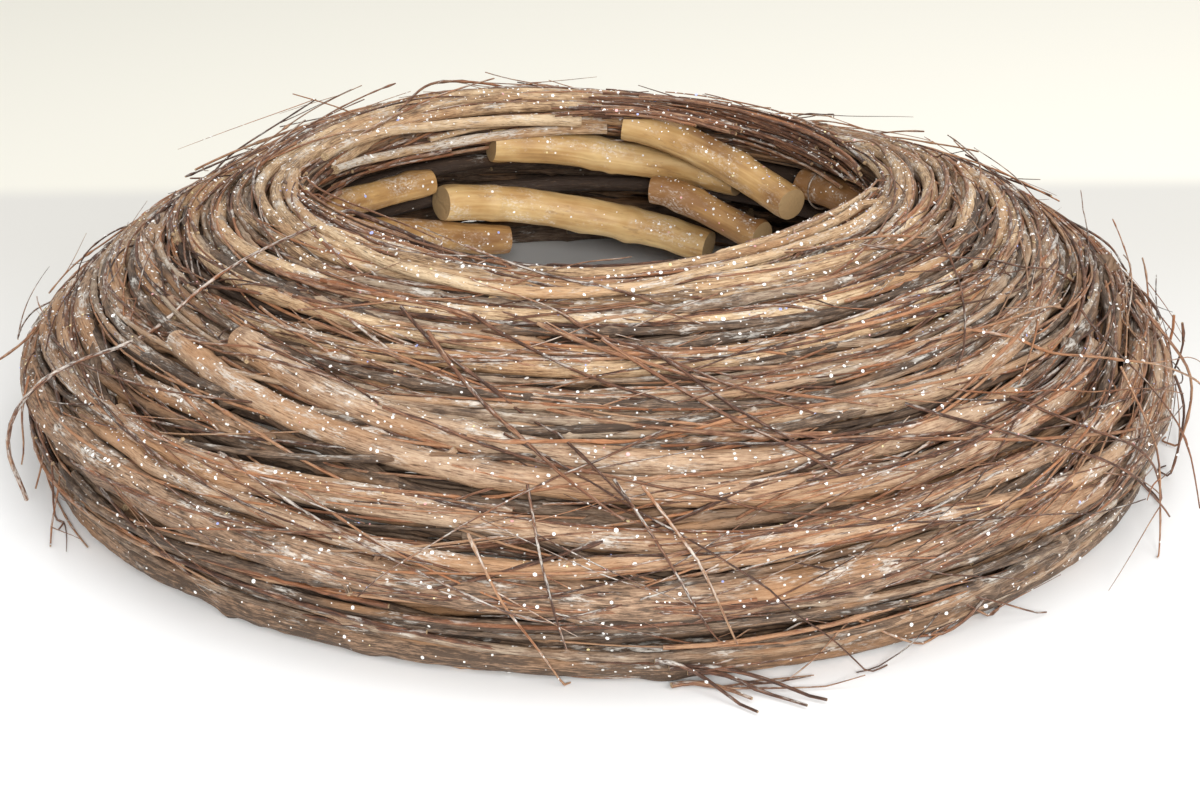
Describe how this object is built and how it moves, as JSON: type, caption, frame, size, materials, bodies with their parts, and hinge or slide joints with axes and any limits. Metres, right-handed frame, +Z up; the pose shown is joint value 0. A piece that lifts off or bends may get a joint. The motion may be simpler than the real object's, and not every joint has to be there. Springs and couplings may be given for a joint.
{
  "type": "brushwood wreath frame",
  "caption": "Domed ring of bark-covered rods and fine twigs wound around an inner wall of peeled canes, open in the middle, lying flat.",
  "frame": {"origin": "centre of the ring on the plane that it stands on", "axes": "+Z up along the ring's axis, -Y towards the front of the ring, +X to the right seen from the front"},
  "size_m": [0.424, 0.424, 0.088],
  "materials": {
    "thick_bark": "rough grey-brown bark with silver frost",
    "medium_bark": "rough brown bark with silver frost",
    "rim_bark": "smooth honey-brown bark, faintly glossy",
    "twig": "thin reddish-brown bark, faintly glossy",
    "peeled_cane": "smooth peeled honey-coloured wood",
    "hidden_rod": "rough brown bark",
    "wire": "thin galvanised binding wire"
  },
  "bodies": {
    "root": {"base_rod": "thick_bark", "brushwood_1": "twig", "brushwood_2": "twig", "belt_rod_1": "thick_bark", "belt_rod_2": "thick_bark", "belt_rod_3": "thick_bark", "flank_rod_1": "thick_bark", "flank_rod_3": "thick_bark", "flank_rod_2": "thick_bark", "flank_rod_4": "thick_bark", "brushwood_3": "twig", "shoulder_rod_1": "medium_bark", "shoulder_rod_3": "medium_bark", "brushwood_4": "twig", "shoulder_rod_2": "medium_bark", "brushwood_5": "twig", "crown_rod_1": "rim_bark", "crown_rod_2": "rim_bark", "brushwood_6": "twig", "crown_rod_3": "rim_bark", "brushwood_7": "twig", "rim_rod_1": "rim_bark", "rim_rod_2": "rim_bark", "rim_rod_3": "rim_bark", "lip_rod_1": "rim_bark", "lip_rod_2": "rim_bark", "sweep_rod_1": "thick_bark", "sweep_rod_2": "thick_bark", "inner_base_rod": "hidden_rod", "core_rod_1": "hidden_rod", "core_rod_2": "hidden_rod", "core_rod_3": "hidden_rod", "core_rod_4": "hidden_rod", "core_rod_5": "hidden_rod", "lower_cane_1": "peeled_cane", "lower_cane_2": "peeled_cane", "lower_cane_3": "peeled_cane", "lower_cane_4": "peeled_cane", "lower_cane_5": "peeled_cane", "middle_cane_1": "peeled_cane", "middle_cane_2": "peeled_cane", "middle_cane_3": "peeled_cane", "middle_cane_4": "peeled_cane", "middle_cane_5": "peeled_cane", "upper_cane_1": "peeled_cane", "upper_cane_2": "peeled_cane", "upper_cane_3": "peeled_cane", "upper_cane_4": "peeled_cane", "upper_cane_5": "peeled_cane", "upper_cane_6": "peeled_cane", "brace_cane": "peeled_cane", "cane_hoop_1": "hidden_rod", "cane_hoop_2": "hidden_rod", "cane_hoop_3": "hidden_rod", "tie_wires": "wire", "stray_twigs": "twig"}
  },
  "joints": []
}
